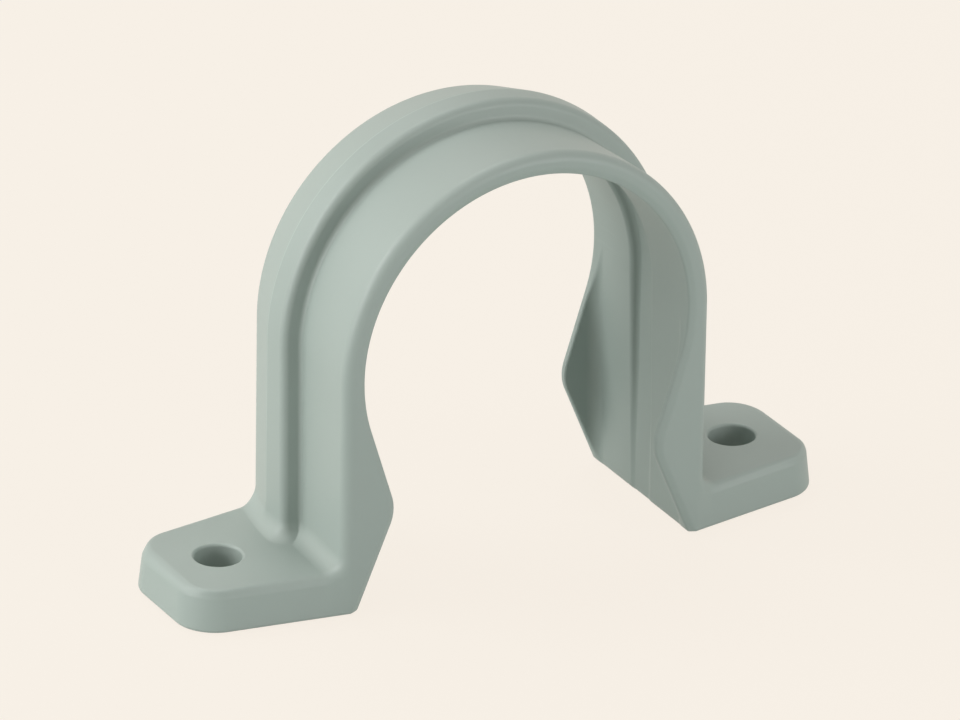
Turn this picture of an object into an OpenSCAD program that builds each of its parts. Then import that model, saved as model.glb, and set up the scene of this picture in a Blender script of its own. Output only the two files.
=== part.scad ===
// Saddle clip for a plastic pipe, moulded in one piece: a ribbed band over the pipe,
// gripping lobes below the pipe's middle, and two feet with screw holes.
// Sizes in millimetres. X runs along the feet, Y along the pipe, Z up from the base plane,
// with the origin in the middle of the base.

/* [Pipe seat] */
// Outer diameter of the pipe, and bore of the band
pipe_d = 50; // [44:1:60]
// Height of the pipe's middle above the base plane
axis_h = 34; // [31:0.5:42]
// Width of the band along the pipe
band_w = 27; // [22:0.5:36]
// Wall thickness of the band and the legs
wall = 3.2; // [3:0.1:5]
// Radius of the band's outer front edge
edge_r = 1.4; // [0.8:0.1:2.2]
// Radius of its outer rear edge
rear_edge_r = 2.4; // [1:0.1:2.6]
// Width of the shallow bevel round the bore's edges
lip_w = 1; // [0.4:0.1:1.6]
// Depth of that bevel along the pipe
lip_depth = 0.5; // [0.1:0.1:1]

/* [Rib] */
// How far the rib's middle lies behind the band's middle
rib_offset = 3.9; // [0:0.1:5]
// Height of the rib above the band
rib_h = 1.9; // [1.6:0.1:5]
// Width of the rib at its crown
rib_w = 3.4; // [2.6:0.1:5]
// Draft of the rib's sides, in degrees
rib_draft = 8; // [2:1:12]
// Radius along the rib's crown
rib_crown_r = 0.6; // [0.3:0.1:1]
// Fillet at the rib's root
rib_root_r = 1.2; // [0.5:0.1:1.8]
// Fillet where the rib runs onto the foot
rib_foot_r = 2; // [1:0.25:4]

/* [Core groove] */
// Width of the groove inside the band, at its mouth
groove_w = 5.4; // [3.5:0.25:8]
// Depth of the groove
groove_depth = 1.2; // [0.6:0.1:2]
// Slope of the groove's sides, in degrees
groove_draft = 20; // [5:1:30]

/* [Gripping lobes] */
// How far each lobe reaches in past the pipe's side
lobe_reach = 4.7; // [3:0.1:6]
// Angle below the pipe's middle where a lobe leaves the bore
lobe_angle = 17.5; // [14:1:22]
// Radius of a lobe's tip
lobe_tip_r = 6; // [4:0.5:8]
// Thickness of a lobe
lobe_t = 1.5; // [1:0.1:2.5]
// Fillet between a lobe and the leg
lobe_root_r = 1.8; // [0.8:0.1:3]
// Draft of the leg's inner wall, in degrees
leg_draft = 1.4; // [0.5:0.1:2.5]

/* [Feet] */
// Distance between the two screw holes
hole_pitch = 80.4; // [77:0.2:96]
// Diameter of a screw hole
hole_d = 6.6; // [4:0.1:8]
// Rounding of the hole's upper rim
hole_rim_r = 0.4; // [0.2:0.1:0.8]
// Thickness of a foot
foot_t = 6.1; // [4:0.1:9]
// Distance from a hole's middle to the end of the foot
foot_end = 9; // [7:0.25:14]
// Width of a foot at its outer end
foot_end_w = 19.6; // [16:0.2:22]
// Radius of a foot's corners, seen from above
foot_corner_r = 5; // [3:0.25:7]
// Rounding of a foot's upper edge
foot_edge_r = 1.5; // [0.6:0.1:2.2]
// Draft of a foot's sides, in degrees
foot_draft = 5; // [1:0.5:8]
// Fillet between a foot and the leg
foot_fillet_r = 1.8; // [0.8:0.1:2.2]

/* [Hidden] */
plastic = [0.62, 0.68, 0.64];
bore_r = pipe_d / 2;
floor_r = bore_r + wall;        // outer surface of the band, beside the rib
crown_r = floor_r + rib_h;      // outermost line of the rib
half_w = band_w / 2;
sink = 0.5;                     // how deep a fillet's foot runs into what it joins
slack = 1;                      // how far a cut runs past what it cuts
edge_steps = 5;                 // steps that round a foot's upper edge
root_x = bore_r + 0.4 * wall;   // where a foot and the lobes join inside the leg
root_r = 0.2;
$fn = 96;

// Tip of a lobe: a circle that touches the straight flank leaving the bore at lobe_angle.
// The flank starts a hair inside the bore, so the bore's cut ends it cleanly.
flank_r = bore_r - 0.01;
tip_x = bore_r - lobe_reach + lobe_tip_r;
tip_z = axis_h - (flank_r + lobe_tip_r - cos(lobe_angle) * tip_x) / sin(lobe_angle);
toe_x = bore_r + axis_h * tan(leg_draft);

// End of the tangent from point p to the left side of the circle at c with radius r
function tangent_end(p, c, r) =
    let (d = norm(c - p), a = atan2(c[1] - p[1], c[0] - p[0]) + asin(r / d))
    p + sqrt(d * d - r * r) * [cos(a), sin(a)];

// Where a lobe's tip turns into the straight line down to its toe
lobe_turn = tangent_end([toe_x, 0], [tip_x, tip_z], lobe_tip_r);

// Half the width of a foot at the base plane, at distance x from the middle
function foot_half_w(x) =
    let (end_x = hole_pitch / 2 + foot_end)
    foot_end_w / 2 + (half_w - foot_end_w / 2) * (end_x - x) / (end_x - root_x);

module mirrored() {
    children();
    mirror([1, 0, 0]) children();
}

// Material of a fillet of radius r in the corner at the origin, between +X and +Y
module corner_fillet(r) {
    difference() {
        translate([-sink, -sink]) square(r + sink);
        translate([r, r]) circle(r);
    }
}

// Wall of the band in section: radius along X, pipe axis along Y with the front at -Y
module wall_section() {
    intersection() {
        translate([bore_r, -half_w]) square([wall, band_w]);
        union() {
            translate([bore_r - slack, -half_w + edge_r])
                square([wall + 2 * slack, band_w - edge_r - rear_edge_r]);
            translate([bore_r - slack, -half_w]) square([wall + slack - edge_r, half_w]);
            translate([bore_r - slack, 0]) square([wall + slack - rear_edge_r, half_w]);
            translate([floor_r - edge_r, edge_r - half_w]) circle(edge_r);
            translate([floor_r - rear_edge_r, half_w - rear_edge_r]) circle(rear_edge_r);
        }
    }
}

module rib_section() {
    crown_y = rib_w / 2 - rib_crown_r * (1 - sin(rib_draft)) / cos(rib_draft);
    flank_r = crown_r - rib_crown_r * (1 - sin(rib_draft));
    flank_y = crown_y + rib_crown_r * cos(rib_draft);
    root_y = rib_w / 2 + (rib_h + sink) * tan(rib_draft);
    polygon([
        [floor_r - sink, -root_y], [flank_r, -flank_y], [crown_r, -crown_y],
        [crown_r, crown_y], [flank_r, flank_y], [floor_r - sink, root_y]
    ]);
    for (side = [-1, 1])
        translate([crown_r - rib_crown_r, side * crown_y]) circle(rib_crown_r);
}

// Fillet between the rib's sloping side and the band, on the +Y side
module rib_root_section() {
    fillet_y = rib_w / 2
        + (rib_root_r + sin(rib_draft) * (rib_h - rib_root_r)) / cos(rib_draft);
    touch = [floor_r + rib_root_r * (1 - sin(rib_draft)), fillet_y - rib_root_r * cos(rib_draft)];
    difference() {
        polygon([
            [floor_r - sink, 0], [floor_r - sink, fillet_y], [floor_r, fillet_y],
            touch, [touch[0], 0]
        ]);
        translate([floor_r + rib_root_r, fillet_y]) circle(rib_root_r);
    }
}

module groove_section() {
    mouth = groove_w / 2;
    flare = tan(groove_draft);
    polygon([
        [bore_r - slack, -mouth - slack * flare],
        [bore_r + groove_depth, -mouth + groove_depth * flare],
        [bore_r + groove_depth, mouth - groove_depth * flare],
        [bore_r - slack, mouth + slack * flare]
    ]);
}

// Shallow bevel between the bore and the side face, on the -Y side
module lip_section() {
    polygon([
        [bore_r - slack, -half_w - slack], [bore_r + lip_w, -half_w - slack],
        [bore_r + lip_w, -half_w], [bore_r, -half_w + lip_depth],
        [bore_r - slack, -half_w + lip_depth]
    ]);
}

module band_section() {
    wall_section();
    translate([0, rib_offset]) {
        rib_section();
        rib_root_section();
        mirror([0, 1]) rib_root_section();
    }
}

module arch() {
    translate([0, 0, axis_h]) rotate([90, 0, 0])
        rotate_extrude(angle = 180)
            mirror([0, 1]) difference() {
                band_section();
                groove_section();
                lip_section();
                mirror([0, 1]) lip_section();
            }
}

// Side view of a lobe and its toe, with its upper end inside the bore
module lobe_outline() {
    tip = [tip_x, tip_z];
    away = [cos(lobe_angle), -sin(lobe_angle)];
    back = bore_r + 0.45 * wall;
    difference() {
        polygon([
            [bore_r - lobe_reach, axis_h],
            [0, axis_h] + flank_r * away,
            tip - lobe_tip_r * away,
            lobe_turn,
            [toe_x, 0],
            [back, 0],
            [back, axis_h]
        ]);
        translate([0, axis_h]) circle(bore_r);
    }
    intersection() {
        translate(tip) circle(lobe_tip_r);
        translate([0, 0]) square([back, axis_h]);
    }
}

// Lobes of the right leg as one block across the band, before the space between is cut
module lobe_block() {
    translate([0, half_w, 0]) rotate([90, 0, 0]) linear_extrude(band_w) lobe_outline();
}

// Space between the lobes, with a straight inner wall that leans out to the toe
module pocket() {
    reach = lobe_reach + slack;
    half = half_w - lobe_t;
    depth = axis_h / cos(leg_draft) + slack;
    translate([bore_r, 0, axis_h]) rotate([0, -leg_draft, 0]) translate([0, 0, -depth])
        linear_extrude(depth) {
            translate([-reach, -half]) square([reach - lobe_root_r, 2 * half]);
            translate([-lobe_root_r, -half + lobe_root_r])
                square([lobe_root_r, 2 * (half - lobe_root_r)]);
            for (side = [-1, 1])
                translate([-lobe_root_r, side * (half - lobe_root_r)]) circle(lobe_root_r);
        }
}

module leg() {
    difference() {
        union() {
            intersection() {
                linear_extrude(axis_h) band_section();
                translate([root_x, -band_w, -slack]) cube([crown_r, 2 * band_w, axis_h + 2 * slack]);
            }
            lobe_block();
        }
        pocket();
        translate([0, 0, -slack]) linear_extrude(axis_h + slack) groove_section();
    }
}

// Foot with drafted sides and a rounded upper edge, tapering to its outer end
module foot() {
    end_x = hole_pitch / 2 + foot_end;
    taper = atan((half_w - foot_end_w / 2) / (end_x - root_x));
    corner_x = end_x - foot_corner_r;
    corner_y = foot_half_w(corner_x) - foot_corner_r / cos(taper);
    hull() {
        for (step = [0 : edge_steps]) {
            turn = step == 0 ? 0 : 90 * (step - 1) / (edge_steps - 1);
            z = step == 0 ? 0 : foot_t - foot_edge_r * (1 - sin(turn));
            inset = z * tan(foot_draft) + (step == 0 ? 0 : foot_edge_r * (1 - cos(turn)));
            for (side = [-1, 1]) {
                translate([corner_x, side * corner_y, 0])
                    cylinder(h = max(z, root_r), r = foot_corner_r - inset, $fn = 48);
                translate([root_x, side * (half_w - inset - root_r), 0])
                    cylinder(h = max(z, root_r), r = root_r, $fn = 16);
            }
        }
    }
}

// Quarter turn of that fillet round the leg's edge of radius r, on the +Y side
module fillet_turn(r) {
    translate([floor_r - r, half_w - r, foot_t]) rotate_extrude(angle = 90)
        translate([r, 0]) corner_fillet(foot_fillet_r);
}

// Fillet between the foot's top and the leg, carried round the leg's rounded edges
module foot_fillet() {
    end_x = hole_pitch / 2 + foot_end;
    inset = foot_t * tan(foot_draft) + foot_edge_r / 2;
    intersection() {
        union() {
            translate([floor_r, half_w - rear_edge_r, foot_t]) rotate([90, 0, 0])
                linear_extrude(band_w - edge_r - rear_edge_r) corner_fillet(foot_fillet_r);
            fillet_turn(rear_edge_r);
            mirror([0, 1, 0]) fillet_turn(edge_r);
        }
        linear_extrude(foot_t + foot_fillet_r + slack)
            polygon([
                [root_x, inset - half_w], [end_x, inset - foot_end_w / 2],
                [end_x, foot_end_w / 2 - inset], [root_x, half_w - inset]
            ]);
    }
    translate([crown_r, rib_offset + rib_w / 2, foot_t]) rotate([90, 0, 0])
        linear_extrude(rib_w) corner_fillet(rib_foot_r);
}

// Through hole with a rounded upper rim
module screw_hole() {
    translate([hole_pitch / 2, 0, 0]) {
        translate([0, 0, -slack]) cylinder(h = foot_t + 2 * slack, d = hole_d);
        rotate_extrude()
            difference() {
                translate([0, foot_t - hole_rim_r])
                    square([hole_d / 2 + hole_rim_r, hole_rim_r + slack]);
                translate([hole_d / 2 + hole_rim_r, foot_t - hole_rim_r]) circle(hole_rim_r);
            }
    }
}

module saddle_clip() {
    color(plastic) {
        arch();
        mirrored() difference() {
            union() {
                leg();
                foot();
                foot_fillet();
            }
            screw_hole();
        }
    }
}

saddle_clip();
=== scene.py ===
import math

import bpy
import numpy as np
from mathutils import Matrix, Vector


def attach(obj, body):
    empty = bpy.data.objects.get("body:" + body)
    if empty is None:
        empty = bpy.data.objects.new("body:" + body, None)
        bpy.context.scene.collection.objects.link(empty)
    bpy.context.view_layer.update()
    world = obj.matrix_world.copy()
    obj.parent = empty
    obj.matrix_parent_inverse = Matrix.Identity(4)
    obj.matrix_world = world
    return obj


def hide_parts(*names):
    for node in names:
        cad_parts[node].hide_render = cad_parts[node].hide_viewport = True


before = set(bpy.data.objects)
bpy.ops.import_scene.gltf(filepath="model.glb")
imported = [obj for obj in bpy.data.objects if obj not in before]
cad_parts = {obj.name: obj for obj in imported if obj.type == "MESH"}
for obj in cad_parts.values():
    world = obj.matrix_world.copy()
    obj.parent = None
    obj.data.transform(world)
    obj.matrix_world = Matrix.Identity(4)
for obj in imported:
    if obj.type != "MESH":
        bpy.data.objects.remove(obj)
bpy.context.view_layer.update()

# Lengths on the clip are in millimetres, as in the CAD, and become metres where its mesh is made.
millimetre = 0.001

clip = {
    "boreRadius": 25.0,
    "axisHeight": 34.0,
    "halfWidth": 13.5,
    "wall": 3.2,
    "rearEdge": 2.4,
    "outerEdge": 1.55,
    "outerEdgeGain": 0.15,  # rounder by this at the rear, sharper by this at the front
    "outerEdgeOver": 6.0,
    "innerEdge": 0.1,
    "lipWidth": 1.0,
    "lipDepth": 0.5,
    "lipRound": 0.25,
    "floorFall": 0.8,
    "floorFallFrom": -12.0,
    "floorFallOver": 12.5,
    "ribFront": 0.85,
    "ribRear": 5.3,
    "ribHeight": 1.9,
    "ribTaper": math.radians(0.8),
    "ribDraft": math.radians(8),
    "ribCrown": 1.0,
    "ribCrest": 0.1,
    "ribRoot": 0.6,
    "grooveHalfWidth": 2.7,
    "grooveDepth": 1.2,
    "grooveDraft": math.radians(20),
    "grooveRound": 0.5,
    "grooveRise": 0.25,  # the share of its depth that it loses towards the base
    "grooveRiseFrom": 14.0,
    "grooveRiseOver": 20.0,
    "lobeAngle": math.radians(17.5),
    "lobeReach": 4.7,
    "lobeTip": 6.0,
    "lobeThickness": 1.5,
    "lobeRoot": 1.8,
    "lobeEdge": 0.3,
    "lobeEdgeOver": 6.0,
    "legDraft": math.radians(1.4),
    "footHeight": 6.1,
    "footHalfEnd": 9.8,
    "footCorner": 5.0,
    "footStart": 27.0,
    "footDraft": math.radians(5),
    "footDraftOver": 3.0,
    "footFillet": 2.5,
    "footBlendAbove": 2.5,
    "footBlendOver": 3.5,
    "holeX": 40.2,
    "holeRadius": 3.3,
    "holeRim": 0.4,
    "endX": 49.2,
    "baseEdge": 0.5,
}


# Where two distances meet in an outer edge of radius r.
def roundEdge(a, b, r):
    return np.minimum(np.maximum(a, b), -r) + np.hypot(np.maximum(a + r, 0), np.maximum(b + r, 0))


# Where two distances meet in an inner corner, filled to radius r.
def roundCorner(a, b, r):
    return np.maximum(np.minimum(a, b), r) - np.hypot(np.maximum(r - a, 0), np.maximum(r - b, 0))


# From 0 to 1, level at both ends.
def smoothStep(t):
    t = np.clip(t, 0, 1)
    return t * t * (3 - 2 * t)


# The band's outside: the front floor, then the rib with a steep front side, a crown and a slope
# down to the rear edge.
def bandDistance(radius, y, z):
    c = clip
    floorRadius = c["boreRadius"] + c["wall"]
    crownRadius = floorRadius + c["ribHeight"]
    edge = c["rearEdge"]
    overY, overRadius = c["halfWidth"] - edge - c["ribRear"], crownRadius - floorRadius + edge
    tilt = math.acos(edge / math.hypot(overY, overRadius)) - math.atan2(overY, overRadius)
    rise = (radius - floorRadius + edge) * math.cos(tilt)
    rearSlope = rise + (y - c["halfWidth"] + edge) * math.sin(tilt) - edge
    front = c["ribFront"] + (z - c["axisHeight"]) * math.tan(c["ribTaper"])
    lean = (crownRadius - radius) * math.tan(c["ribDraft"])
    flank = (front - y - lean) * math.cos(c["ribDraft"])
    crest = roundEdge(radius - crownRadius, rearSlope, c["ribCrest"])
    rib = roundEdge(crest, flank, c["ribCrown"])
    # The front floor falls a little towards the rib.
    fall = np.clip((y - c["floorFallFrom"]) / c["floorFallOver"], 0, 1)
    floor = radius - floorRadius + c["floorFall"] * fall
    return roundCorner(np.maximum(floor, y - c["ribRear"]), rib, c["ribRoot"])


# The foot's top turns up into the band, and one rounded edge runs round both. The foot's sides
# leave the leg's faces gently, taper to its end and lean in as they rise.
def outerDistance(x, y, z, band):
    c = clip
    top = roundCorner(band, z - c["footHeight"], c["footFillet"])
    beyond = np.maximum(x - c["footStart"], 0)
    taper = (c["halfWidth"] - c["footHalfEnd"]) / (c["endX"] - c["footStart"])
    low = smoothStep((c["footHeight"] + c["footBlendAbove"] - z) / c["footBlendOver"])
    lean = z * math.tan(c["footDraft"])
    inset = (beyond * taper + lean * smoothStep(beyond / c["footDraftOver"])) * low
    side = (np.abs(y) - c["halfWidth"] + inset) * math.cos(c["footDraft"])
    end = (x - c["endX"] + lean) * math.cos(c["footDraft"])
    plan = roundEdge(side, end, c["footCorner"])
    edge = c["outerEdge"] + c["outerEdgeGain"] * np.clip(y / c["outerEdgeOver"], -1, 1)
    return roundEdge(plan, top, edge)


# Inside, the bore runs down into two lobes with a drafted pocket between them. The edges of the
# bore and the lobes have a small lip.
def innerDistance(x, across, drop, radius):
    c = clip
    cosA, sinA = math.cos(c["lobeAngle"]), math.sin(c["lobeAngle"])
    bore = c["boreRadius"] - np.hypot(x, drop)
    lobeFlank = np.where(drop < x * sinA / cosA, bore, c["boreRadius"] - x * cosA - drop * sinA)
    tipX = c["boreRadius"] - c["lobeReach"] + c["lobeTip"]
    tipDrop = (c["boreRadius"] + c["lobeTip"] - cosA * tipX) / sinA
    toeX = c["boreRadius"] + c["axisHeight"] * math.tan(c["legDraft"])
    toeRise = c["axisHeight"] - tipDrop
    away = math.hypot(toeX - tipX, toeRise)
    turn = math.atan2(toeRise, toeX - tipX) + math.acos(c["lobeTip"] / away)
    overX, overDrop = x - tipX, drop - tipDrop
    toe = overX * math.cos(turn) + overDrop * math.sin(turn) - c["lobeTip"]
    pastFlank = overDrop * cosA > overX * sinA
    pastToe = overDrop * math.cos(turn) > overX * math.sin(turn)
    atTip = np.hypot(overX, overDrop) - c["lobeTip"]
    lobe = np.where(pastFlank & pastToe, atTip, np.maximum(lobeFlank, toe))
    inner = np.where(drop < 0, c["boreRadius"] - radius, lobe)

    leg = (c["boreRadius"] + drop * math.tan(c["legDraft"]) - x) * math.cos(c["legDraft"])
    pocket = np.where(drop < 0, inner, leg)
    gap = c["halfWidth"] - c["lobeThickness"] - across
    inside = roundCorner(gap, pocket, c["lobeRoot"])
    inside = roundEdge(inside, inner, c["lobeEdge"] * np.clip(drop / c["lobeEdgeOver"], 0, 1))

    lipLength = math.hypot(1 / c["lipDepth"], 1 / c["lipWidth"])
    lip = (1 - (c["halfWidth"] - across) / c["lipDepth"] + inner / c["lipWidth"]) / lipLength
    return roundEdge(inside, lip, c["lipRound"])


# The groove along the bore's middle, which runs out towards the base.
def grooveDistance(across, drop, radius):
    c = clip
    runOut = smoothStep((drop - c["grooveRiseFrom"]) / c["grooveRiseOver"])
    depth = (radius - c["boreRadius"]) + c["grooveDepth"] * c["grooveRise"] * runOut
    lean = depth * math.tan(c["grooveDraft"])
    flank = (across - c["grooveHalfWidth"] + lean) * math.cos(c["grooveDraft"])
    return roundEdge(depth - c["grooveDepth"], flank, c["grooveRound"])


# Distance to the clip's surface in millimetres, negative inside it. The front is at -Y.
def clipDistance(x, y, z):
    c = clip
    x, across = np.abs(x), np.abs(y)
    drop = c["axisHeight"] - z
    radius = np.where(drop < 0, np.hypot(x, drop), x)
    outside = outerDistance(x, y, z, bandDistance(radius, y, z))
    solid = roundEdge(outside, innerDistance(x, across, drop, radius), c["innerEdge"])
    solid = roundEdge(solid, -grooveDistance(across, drop, radius), c["grooveRound"])
    hole = c["holeRadius"] - np.hypot(x - c["holeX"], y)
    solid = roundEdge(solid, hole, c["holeRim"])
    return roundEdge(solid, -z, c["baseEdge"])


net = {
    "cell": 0.16,
    "block": 8,
    "spareCells": 6,
    "startCells": (0.5, 2.37, 1.37),  # how far the grid starts before the clip
    "reach": 1.15,
    "batches": 12,
    "slopeStep": 0.01,
    "longestMove": 0.2,
    "evenRounds": 3,
    "triangles": 150000,
}


# Outward slopes of the distance, and the distances, at points.
def surfaceSlope(p):
    step = net["slopeStep"]
    rows = []
    for axis in range(3):
        shift = np.zeros(3)
        shift[axis] = step
        rows.append(clipDistance(*(p + shift).T) - clipDistance(*(p - shift).T))
    slope = np.array(rows).T / (2 * step)
    return slope, clipDistance(*p.T)


# Moves points onto the surface; those held stay on the plane of symmetry.
def ontoSurface(p, held, rounds=3):
    longest = net["longestMove"]
    for _ in range(rounds):
        slope, distance = surfaceSlope(p)
        length = np.maximum((slope ** 2).sum(1), 0.25)
        p = p - slope * np.clip(distance / length, -longest, longest)[:, None]
        p[held, 0] = 0
    return p


# Distances on a grid over the right half of the clip, exact near its surface only.
def sampleField(cell):
    c = clip
    top = c["axisHeight"] + c["boreRadius"] + c["wall"] + c["ribHeight"]
    block = net["block"]
    sizes = (c["endX"], 2 * c["halfWidth"], top)
    counts = [block * math.ceil((s / cell + net["spareCells"]) / block) for s in sizes]
    before = [n * cell for n in net["startCells"]]
    starts = np.array([-before[0], -c["halfWidth"] - before[1], -before[2]])
    field = np.ones(counts, np.float32)
    spans = [np.arange(0, n, block) for n in counts]
    corners = np.stack(np.meshgrid(*spans, indexing="ij"), -1).reshape(-1, 3)
    middles = starts + (corners + (block - 1) / 2) * cell
    distance = clipDistance(*middles.T)
    reach = 0.5 * math.sqrt(3) * block * cell * net["reach"]
    blocks = field.reshape([n for count in counts for n in (count // block, block)])
    slots = corners // block
    far = np.abs(distance) > reach
    signs = np.sign(distance[far])[:, None, None, None]
    blocks[slots[far, 0], :, slots[far, 1], :, slots[far, 2], :] = signs
    local = np.stack(np.meshgrid(*[np.arange(block)] * 3, indexing="ij"), -1)
    for part in np.array_split(np.flatnonzero(~far), net["batches"]):
        points = starts + (corners[part][:, None, None, None] + local) * cell
        values = clipDistance(*points.reshape(-1, 3).T).reshape(points.shape[:-1])
        blocks[slots[part, 0], :, slots[part, 1], :, slots[part, 2], :] = values
    print("field:", " x ".join(str(n) for n in counts), "cells")
    return field, starts


# One vertex in each grid cell that the surface crosses, and a quad round each crossed grid edge.
def netSurface(field, starts, cell):
    inside = field < 0
    corner = [(i, j, k) for i in (0, 1) for j in (0, 1) for k in (0, 1)]
    dims = np.array(field.shape) - 1
    total = np.zeros(dims, np.uint8)
    for i, j, k in corner:
        total += inside[i:i + dims[0], j:j + dims[1], k:k + dims[2]]
    cells = np.argwhere((total > 0) & (total < 8))
    index = np.full(dims, -1, np.int32)
    index[tuple(cells.T)] = np.arange(len(cells))
    places = np.zeros((len(cells), 3))
    hits = np.zeros(len(cells))
    for a in corner:
        for axis in range(3):
            if a[axis]:
                continue
            b = tuple(v + (n == axis) for n, v in enumerate(a))
            fa = field[tuple((cells + a).T)]
            fb = field[tuple((cells + b).T)]
            crossed = (fa < 0) != (fb < 0)
            share = np.where(crossed, fa / np.where(crossed, fa - fb, 1), 0)
            spot = np.tile(np.array(a, float), (len(cells), 1))
            spot[:, axis] = share
            places[crossed] += spot[crossed]
            hits += crossed
    points = starts + (cells + places / hits[:, None]) * cell
    quads = []
    for axis in range(3):
        low = [slice(None)] * 3
        high = [slice(None)] * 3
        low[axis], high[axis] = slice(0, -1), slice(1, None)
        starting = inside[tuple(low)]
        edges = np.argwhere(starting != inside[tuple(high)])
        u, v = (axis + 1) % 3, (axis + 2) % 3
        edges = edges[(edges[:, u] > 0) & (edges[:, v] > 0)]
        outward = starting[tuple(edges.T)]
        ring = []
        for du, dv in ((-1, -1), (0, -1), (0, 0), (-1, 0)):
            at = edges.copy()
            at[:, u] += du
            at[:, v] += dv
            ring.append(index[tuple(at.T)])
        ring = np.array(ring).T
        ring[~outward] = ring[~outward][:, ::-1]
        quads.append(ring)
    held = cells[:, 0] == 0
    print("net:", len(points), "vertices")
    return points, np.concatenate(quads), held


# Slides the vertices along the surface, halfway to their neighbours' middle in each round.
def evenOut(points, quads, held, rounds):
    sides = ([0, 1], [1, 2], [2, 3], [3, 0])
    pairs = np.concatenate([quads[:, side] for side in sides])
    for _ in range(rounds):
        total = np.zeros_like(points)
        count = np.zeros(len(points))
        for a, b in ((0, 1), (1, 0)):
            for axis in range(3):
                total[:, axis] += np.bincount(pairs[:, a], points[pairs[:, b], axis], len(points))
            count += np.bincount(pairs[:, a], minlength=len(points))
        points = ontoSurface(points + 0.5 * (total / count[:, None] - points), held, 1)
    return points


# The same surface with fewer triangles, long ones on its flat parts.
def thinned(points, quads, triangles):
    mesh = bpy.data.meshes.new("half")
    mesh.from_pydata(points.tolist(), [], quads.tolist())
    half = bpy.data.objects.new("half", mesh)
    bpy.context.scene.collection.objects.link(half)
    less = half.modifiers.new("less", "DECIMATE")
    less.ratio = min(1, triangles / (2 * len(quads)))
    result = half.evaluated_get(bpy.context.evaluated_depsgraph_get()).to_mesh()
    result.calc_loop_triangles()
    kept = np.empty(len(result.vertices) * 3)
    result.vertices.foreach_get("co", kept)
    faces = np.empty(len(result.loop_triangles) * 3, np.int32)
    result.loop_triangles.foreach_get("vertices", faces)
    bpy.data.objects.remove(half)
    bpy.data.meshes.remove(mesh)
    return kept.reshape(-1, 3), faces.reshape(-1, 3)


# Which vertices lie on an edge of only one face.
def onRim(points, faces):
    edges = np.sort(np.concatenate([faces[:, [0, 1]], faces[:, [1, 2]], faces[:, [2, 0]]]), axis=1)
    kinds, uses = np.unique(edges, axis=0, return_counts=True)
    rim = np.zeros(len(points), bool)
    rim[kinds[uses == 1]] = True
    return rim


# Adds the left half, sharing the vertices that lie on the plane of symmetry.
def mirrored(points, faces):
    across = points.copy()
    across[:, 0] *= -1
    middle = points[:, 0] == 0
    partner = np.where(middle, np.arange(len(points)), 0)
    partner[~middle] = len(points) + np.arange((~middle).sum())
    bothPoints = np.concatenate([points, across[~middle]])
    return bothPoints, np.concatenate([faces, partner[faces][:, ::-1]])


def makeClip():
    cell = net["cell"]
    points, quads, held = netSurface(*sampleField(cell), cell)
    points = ontoSurface(points, held)
    points = evenOut(points, quads, held, net["evenRounds"])
    points, faces = thinned(points, quads, net["triangles"] / 2)
    held = (np.abs(points[:, 0]) < cell) & onRim(points, faces)
    points = ontoSurface(points, held)
    points, faces = mirrored(points, faces)
    slope, _ = surfaceSlope(points)
    normals = slope / np.maximum(np.linalg.norm(slope, axis=1), 1e-6)[:, None]
    mesh = bpy.data.meshes.new("saddleClip")
    mesh.from_pydata((points * millimetre).tolist(), [], faces.tolist())
    mesh.shade_smooth()
    mesh.normals_split_custom_set_from_vertices(normals.tolist())
    piece = bpy.data.objects.new("saddleClip", mesh)
    bpy.context.scene.collection.objects.link(piece)
    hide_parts("saddle_clip")
    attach(piece, "root")
    print("clip:", len(points), "vertices,", len(faces), "triangles")
    return piece


# Lengths are in metres here.
plastic = {
    "shade": (0.354, 0.411, 0.376),
    "ior": 1.5,
    "toneFrom": 0.97,
    "toneTo": 1.03,
    "cloudScale": 60,
    "cloudDetail": 3,
    "roughness": 0.46,
    "roughnessSpread": 0.04,
    "grain": 0.00035,
    "grainDetail": 2,
    "grainDepth": 0.000012,
    "grainStrength": 0.5,
    # Where the painted highlight along the rib's crest lies, how wide it is and how much it
    # lightens the colour.
    "lineY": 0.00525,
    "lineHalf": 0.00013,
    "highlightTone": 0.26,
    "lineFoot": 0.0095,
    "lineBelowCrown": 0.0004,
}


# A math node; each value is a number or another node's output.
def compute(tree, operation, *values):
    node = tree.nodes.new("ShaderNodeMath")
    node.operation = operation
    for slot, value in zip(node.inputs, values):
        if isinstance(value, (int, float)):
            slot.default_value = value
        else:
            tree.links.new(value, slot)
    return node.outputs["Value"]


# A painted highlight along the crest of the rib's crown, where the parting line's small ridge
# catches the light: 1 on it, 0 off it.
def paintedCrestHighlight(tree, place):
    apart = tree.nodes.new("ShaderNodeSeparateXYZ")
    tree.links.new(place.outputs["Object"], apart.inputs["Vector"])
    x, y, z = (apart.outputs[axis] for axis in "XYZ")
    aboveAxis = compute(tree, "SUBTRACT", z, clip["axisHeight"] * millimetre)
    rise = compute(tree, "MAXIMUM", aboveAxis, 0)
    acrossSquare = compute(tree, "MULTIPLY", x, x)
    radius = compute(tree, "SQRT", compute(tree, "MULTIPLY_ADD", rise, rise, acrossSquare))
    crown = (clip["boreRadius"] + clip["wall"] + clip["ribHeight"]) * millimetre
    onCrown = compute(tree, "GREATER_THAN", radius, crown - plastic["lineBelowCrown"])
    aboveFoot = compute(tree, "GREATER_THAN", z, plastic["lineFoot"])
    off = compute(tree, "ABSOLUTE", compute(tree, "SUBTRACT", y, plastic["lineY"]))
    near = compute(tree, "SUBTRACT", 1, compute(tree, "DIVIDE", off, plastic["lineHalf"]))
    return compute(tree, "MULTIPLY", compute(tree, "MAXIMUM", near, 0),
                   compute(tree, "MULTIPLY", onCrown, aboveFoot))


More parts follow.
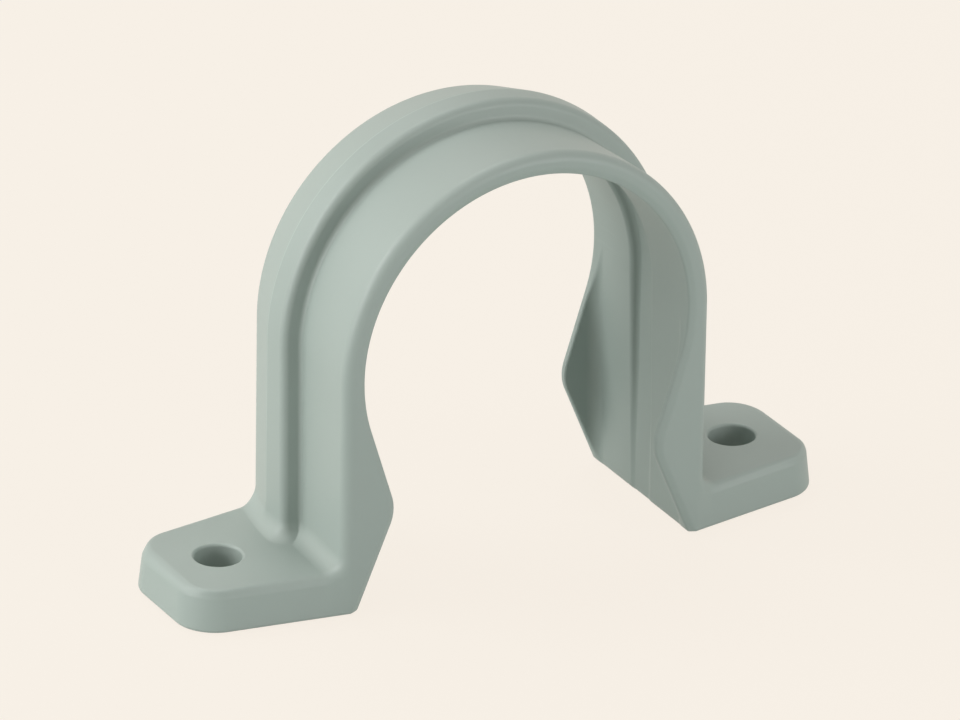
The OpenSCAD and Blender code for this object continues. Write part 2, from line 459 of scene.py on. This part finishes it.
def makePlastic():
    material = bpy.data.materials.new("greyPlastic")
    material.use_nodes = True
    nodes, links = material.node_tree.nodes, material.node_tree.links
    shader = nodes["Principled BSDF"]
    shader.inputs["IOR"].default_value = plastic["ior"]
    place = nodes.new("ShaderNodeTexCoord")

    # A faint cloudiness in the colour, and the painted highlight along the rib's crest on it.
    cloud = nodes.new("ShaderNodeTexNoise")
    cloud.inputs["Scale"].default_value = plastic["cloudScale"]
    cloud.inputs["Detail"].default_value = plastic["cloudDetail"]
    links.new(place.outputs["Object"], cloud.inputs["Vector"])
    tone = nodes.new("ShaderNodeMapRange")
    tone.inputs["To Min"].default_value = plastic["toneFrom"]
    tone.inputs["To Max"].default_value = plastic["toneTo"]
    links.new(cloud.outputs["Fac"], tone.inputs["Value"])
    tint = nodes.new("ShaderNodeVectorMath")
    tint.operation = "SCALE"
    tint.inputs[0].default_value = plastic["shade"]
    tree = material.node_tree
    # A painted highlight along the rib's crest lightens the colour's tone there.
    crestHighlight = paintedCrestHighlight(tree, place)
    lit = compute(tree, "MULTIPLY_ADD", crestHighlight, plastic["highlightTone"], tone.outputs["Result"])
    links.new(lit, tint.inputs["Scale"])
    links.new(tint.outputs["Vector"], shader.inputs["Base Color"])

    # A fine grain, in the roughness and as a shallow bump.
    grain = nodes.new("ShaderNodeTexNoise")
    grain.inputs["Scale"].default_value = 1 / plastic["grain"]
    grain.inputs["Detail"].default_value = plastic["grainDetail"]
    links.new(place.outputs["Object"], grain.inputs["Vector"])
    rough = nodes.new("ShaderNodeMapRange")
    rough.inputs["To Min"].default_value = plastic["roughness"] - plastic["roughnessSpread"]
    rough.inputs["To Max"].default_value = plastic["roughness"] + plastic["roughnessSpread"]
    links.new(grain.outputs["Fac"], rough.inputs["Value"])
    links.new(rough.outputs["Result"], shader.inputs["Roughness"])
    bump = nodes.new("ShaderNodeBump")
    bump.inputs["Strength"].default_value = plastic["grainStrength"]
    bump.inputs["Distance"].default_value = plastic["grainDepth"]
    links.new(grain.outputs["Fac"], bump.inputs["Height"])
    links.new(bump.outputs["Normal"], shader.inputs["Normal"])
    print("material:", material.name)
    return material


studio = {
    "backdrop": (0.930, 0.871, 0.791),
    "world": 0.235,
    "floorSize": 4.0,
    "floorDrop": 0.0002,
    "floorShade": (0.961, 0.891, 0.807),
    "floorGlow": 0.92,
    "floorPaint": (0.62, 0.68, 0.66, 1),
    "floorRoughness": 0.9,
    "lightsAim": (0, 0, 0.03),
    "lights": [
        {"name": "leftLight", "from": (-1.04, 0, 0.18), "size": 0.7, "power": 5.4},
        {"name": "rearLeftLight", "from": (-0.745, 0.43, 0.63), "size": 0.7, "power": 5.0},
        {"name": "rearTopLight", "from": (0.09, 0.49, 0.95), "size": 0.7, "power": 3.0},
        {"name": "frontLight", "from": (0.52, -0.9, 0.18), "size": 0.7, "power": 5.2},
        {"name": "topLight", "from": (-0.314, -0.314, 0.98), "size": 0.25, "power": 0.6},
    ],
}


# 1 for rays that see the pale background: the camera's, and those that leave a shiny surface.
def backdropRays(tree):
    path = tree.nodes.new("ShaderNodeLightPath")
    seen = compute(tree, "MAXIMUM", path.outputs["Is Camera Ray"], path.outputs["Is Glossy Ray"])
    return compute(tree, "MAXIMUM", seen, path.outputs["Is Transmission Ray"])


def makeWorld():
    world = bpy.data.worlds.new("studio")
    bpy.context.scene.world = world
    world.use_nodes = True
    nodes, links = world.node_tree.nodes, world.node_tree.links
    light = nodes["Background"]
    light.inputs["Color"].default_value = (1, 1, 1, 1)
    light.inputs["Strength"].default_value = studio["world"]
    seen = nodes.new("ShaderNodeBackground")
    seen.inputs["Color"].default_value = (*studio["backdrop"], 1)
    mix = nodes.new("ShaderNodeMixShader")
    links.new(backdropRays(world.node_tree), mix.inputs["Fac"])
    links.new(light.outputs["Background"], mix.inputs[1])
    links.new(seen.outputs["Background"], mix.inputs[2])
    links.new(mix.outputs["Shader"], nodes["World Output"].inputs["Surface"])


def makeLights():
    for spec in studio["lights"]:
        data = bpy.data.lights.new(spec["name"], "AREA")
        data.shape = "DISK"
        data.size = spec["size"]
        data.energy = spec["power"]
        lamp = bpy.data.objects.new(spec["name"], data)
        bpy.context.scene.collection.objects.link(lamp)
        lamp.location = spec["from"]
        aim = Vector(studio["lightsAim"]) - Vector(spec["from"])
        lamp.rotation_euler = aim.to_track_quat("-Z", "Y").to_euler()


# The floor glows in the backdrop's colour. The rest of its look is its lit paint, which takes
# the clip's shadow.
def makeFloorPaint():
    paint = bpy.data.materials.new("floorPaint")
    paint.use_nodes = True
    nodes, links = paint.node_tree.nodes, paint.node_tree.links
    glow = nodes.new("ShaderNodeEmission")
    glow.inputs["Color"].default_value = (*studio["floorShade"], 1)
    matt = nodes["Principled BSDF"]
    matt.inputs["Base Color"].default_value = studio["floorPaint"]
    matt.inputs["Roughness"].default_value = studio["floorRoughness"]
    mix = nodes.new("ShaderNodeMixShader")
    rays = backdropRays(paint.node_tree)
    links.new(compute(paint.node_tree, "MULTIPLY", rays, studio["floorGlow"]), mix.inputs["Fac"])
    links.new(matt.outputs["BSDF"], mix.inputs[1])
    links.new(glow.outputs["Emission"], mix.inputs[2])
    links.new(mix.outputs["Shader"], nodes["Material Output"].inputs["Surface"])
    return paint


def makeFloor():
    half = studio["floorSize"] / 2
    corners = [(-half, -half), (half, -half), (half, half), (-half, half)]
    mesh = bpy.data.meshes.new("floor")
    mesh.from_pydata([(x, y, -studio["floorDrop"]) for x, y in corners], [], [(0, 1, 2, 3)])
    floor = bpy.data.objects.new("floor", mesh)
    bpy.context.scene.collection.objects.link(floor)
    mesh.materials.append(makeFloorPaint())


def makeStudio():
    makeWorld()
    makeLights()
    makeFloor()
    print("studio:", len(studio["lights"]), "lights")


view = {
    "azimuth": math.radians(-29.68),
    "elevation": math.radians(25.66),
    "roll": math.radians(0.98),
    "distance": 1.5,
    "pixelsPerMetre": 7359,
    "pictureWidth": 960,
    "sensorWidth": 36,
    "aim": (0, 0, 0.025),
    "aside": (0.00001, 0.00128),
    "nearest": 0.05,
    "farthest": 20,
}


def makeCamera():
    a, e, roll = view["azimuth"], view["elevation"], view["roll"]
    back = Vector((math.sin(a) * math.cos(e), -math.cos(a) * math.cos(e), math.sin(e)))
    level = Vector((math.cos(a), math.sin(a), 0))
    upright = back.cross(level)
    right = level * math.cos(roll) + upright * math.sin(roll)
    up = upright * math.cos(roll) - level * math.sin(roll)
    place = Vector(view["aim"]) + back * view["distance"]
    place = place + right * view["aside"][0] + up * view["aside"][1]
    data = bpy.data.cameras.new("camera")
    data.sensor_width = view["sensorWidth"]
    across = view["pictureWidth"]
    data.lens = view["pixelsPerMetre"] * view["distance"] * data.sensor_width / across
    data.clip_start, data.clip_end = view["nearest"], view["farthest"]
    camera = bpy.data.objects.new("camera", data)
    bpy.context.scene.collection.objects.link(camera)
    turn = Matrix((right, up, back)).transposed().to_4x4()
    camera.matrix_world = Matrix.Translation(place) @ turn
    bpy.context.scene.camera = camera
    print("camera: lens", round(data.lens), "mm")


bpy.context.scene.view_settings.view_transform = "Standard"
makeCamera()
makeStudio()
saddleClip = makeClip()
saddleClip.data.materials.append(makePlastic())
